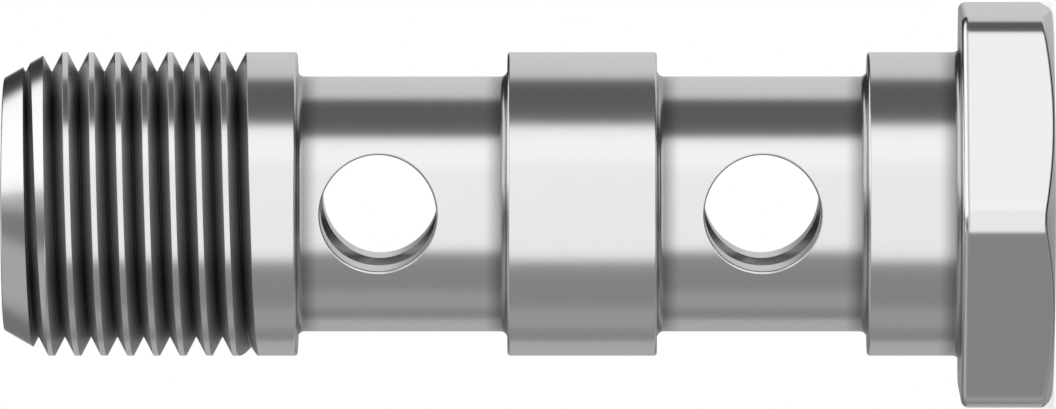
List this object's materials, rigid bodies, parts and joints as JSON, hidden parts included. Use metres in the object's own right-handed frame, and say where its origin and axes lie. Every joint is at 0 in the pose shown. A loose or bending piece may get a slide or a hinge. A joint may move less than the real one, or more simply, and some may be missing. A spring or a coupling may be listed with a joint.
{
  "type": "banjo bolt",
  "caption": "Long hex-headed hollow bolt with three lands, two necks each crossed by a drilled hole, a blind flow bore and a parallel pipe thread with a chamfered tip.",
  "frame": {"origin": "centre of the hex head's outer face, on which the bolt stands", "axes": "+Z along the bolt's axis from the head to the threaded tip; the cross holes and two corners of the hexagon lie along Y"},
  "size_m": [0.027, 0.0304, 0.0723],
  "materials": {
    "steel": "bright, finely turned bare steel"
  },
  "bodies": {
    "root": {"banjo_bolt": "steel"}
  },
  "joints": []
}
